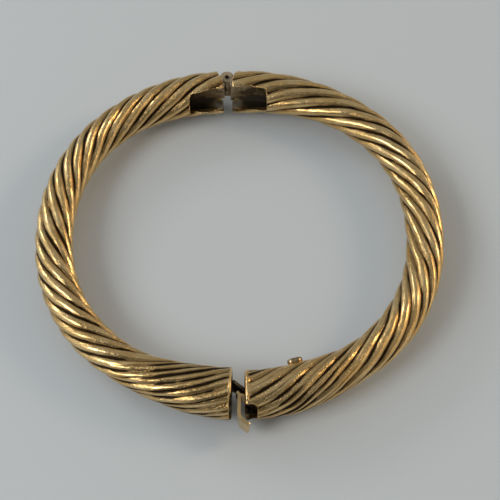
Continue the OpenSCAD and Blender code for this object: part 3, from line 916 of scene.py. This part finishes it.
# %% The notch for the lever
NOTCH_UP, NOTCH_DOWN, NOTCH_IN, NOTCH_DEPTH = {LEFT: 3.9, RIGHT: 3}, 2, 1.4, {LEFT: 0.4, RIGHT: 2}
NOTCH_CORNER = 0.9


def notch_block(side):
    middle = -PLAN_B - CLASP_OUT[side]
    front, back = middle - CLASP_R[side] - PAST, middle - NOTCH_IN
    reach, low, high = SEAM + NOTCH_DEPTH[side], MID_Z - NOTCH_DOWN, MID_Z + NOTCH_UP[side]
    radius = min(NOTCH_CORNER, reach)
    corner = quarter_arc(reach - radius, high - radius, radius)
    outline = [(side * x, z) for x, z in [(-PAST, low), (reach, low), *corner, (-PAST, high)]]
    return prism("notch_block", outline, -back, -front, Matrix.Rotation(math.radians(90), 4, "X"), cut_edge)


print("the notch is", NOTCH_DEPTH[LEFT], "mm deep on the left and", NOTCH_DEPTH[RIGHT], "mm on the right")

# %% [markdown]
# The halves were made with the bangle shut. Once a half is cut, it swings out about the hinge's axis by half
# of the small opening in the picture, and goes from millimetres to metres. A Boolean that fails leaves the
# tube whole and says nothing, so the cell looks for a face with the finish of a cut edge.

# %% Cut, swing open and make real
def swing(side):
    axis = Vector((hinge_axis.x, hinge_axis.y, 0))
    opening = Matrix.Rotation(math.radians(side * OPEN_DEG / 2), 4, "Z")
    in_place = Matrix.Scale(MM, 4) @ Matrix.Translation((0, SHIFT_Y, 0))
    return in_place @ Matrix.Translation(axis) @ opening @ Matrix.Translation(-axis)


def made_real(carrier, name, place):
    graph = bpy.context.evaluated_depsgraph_get()
    mesh = bpy.data.meshes.new_from_object(carrier.evaluated_get(graph))
    mesh.name = name
    if mesh.materials[0] is None:
        mesh.materials.pop(index=0)
    mesh.transform(place)
    piece = bpy.data.objects.new(name, mesh)
    bpy.context.scene.collection.objects.link(piece)
    bpy.data.objects.remove(carrier)
    return piece


def cut_and_real(side, name):
    blocks = [window_block(side), corner_block(side), notch_block(side)]
    for block in blocks:
        cut = shells[side].modifiers.new(block.name, "BOOLEAN")
        cut.operation, cut.solver, cut.material_mode = "DIFFERENCE", "MANIFOLD", "TRANSFER"
        cut.object = block
    half = made_real(shells[side], name, swing(side))
    for block in blocks:
        bpy.data.objects.remove(block)
    return half


for side, word in WORDS.items():
    half = cut_and_real(side, f"{word}_ribbed_half")
    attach(half, word)
    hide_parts(f"{word}_half")
    finishes = [half.data.materials[face.material_index].name for face in half.data.polygons]
    if cut_edge.name not in finishes:
        raise RuntimeError(half.name + " wasn't cut")
    print(half.name, "has faces of", {name: finishes.count(name) for name in sorted(set(finishes))})

# %% [markdown]
# ## Softened edges on the small parts
# The leaves, the pin, the spring and the lever are already the right shape in the solids. Real sheet metal
# has no knife edges, so each gets a copy with its doubled points merged and its edges rounded a little, and
# the copy stands for the solid.

# %% Softened copies of the small parts
SHARP, FLAT, SAME_POINT = 35, 1, 0.000001


def softened(node, body, material, slot_name, width, segments):
    copy = bpy.data.objects.new(f"{node}_soft", nodes[node].data.copy())
    bpy.context.scene.collection.objects.link(copy)
    shape = bmesh.new()
    shape.from_mesh(copy.data)
    bmesh.ops.remove_doubles(shape, verts=shape.verts, dist=SAME_POINT)
    bmesh.ops.dissolve_limit(shape, angle_limit=math.radians(FLAT), verts=shape.verts, edges=shape.edges)
    shape.to_mesh(copy.data)
    shape.free()
    copy.data.materials.clear()
    copy.data.materials.append(material)
    round_off = copy.modifiers.new("softened edges", "BEVEL")
    round_off.width, round_off.segments = width, segments
    round_off.limit_method, round_off.angle_limit = "ANGLE", math.radians(SHARP)
    for face in copy.data.polygons:
        face.use_smooth = True
    copy.data.set_sharp_from_angle(angle=math.radians(SHARP))
    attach(copy, body)
    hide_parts(node)
    return copy


small = {}
for node, body, material, slot_name, width, segments in (
        ("left_hinge_leaf", "left", dull_plate, "tarnished_plate", 0.00008, 2),
        ("right_hinge_leaf", "right", dull_plate, "tarnished_plate", 0.00008, 2),
        ("hinge_pin", "right", dark_plate_and_shade, "tarnished_plate", 0.00006, 2),
        ("tongue", "left", dark_plate_and_shade, "tarnished_plate", 0.00006, 2),
        ("catch_plate", "right", dark_plate_and_shade, "tarnished_plate", 0.00005, 2),
        ("thumb_lever", "lever", lever_gold, "gold_plate", 0.00012, 3),
        ("oval_plate", "right", oval_gold, "gold_plate", 0.00035, 4)):
    small[node] = softened(node, body, material, slot_name, width, segments)
print("softened:", list(small))

# %% [markdown]
# The oval plate is soldered to the inner side of the ribbed skin, over a groove. Its solid would seem to
# float there, so the points at the back of its copy go a little deeper, like solder that fills the groove.

# %% A seat for the oval plate
OVAL_X, OVAL_ANGLE, SEAT_DEPTH = 9.1, 165, 0.4


def seat_deeper(plate):
    angle = math.radians(OVAL_ANGLE)
    way = math.cos(angle) * outward_way(RIGHT, from_clasp(OVAL_X)) + Vector((0, 0, math.sin(angle)))
    points = plate.data.vertices
    middle = sum(point.co.dot(way) for point in points) / len(points)
    back = [point for point in points if point.co.dot(way) < middle]
    for point in back:
        point.co -= SEAT_DEPTH * MM * way
    return len(back)


print("points moved behind the oval plate:", seat_deeper(small["oval_plate"]))
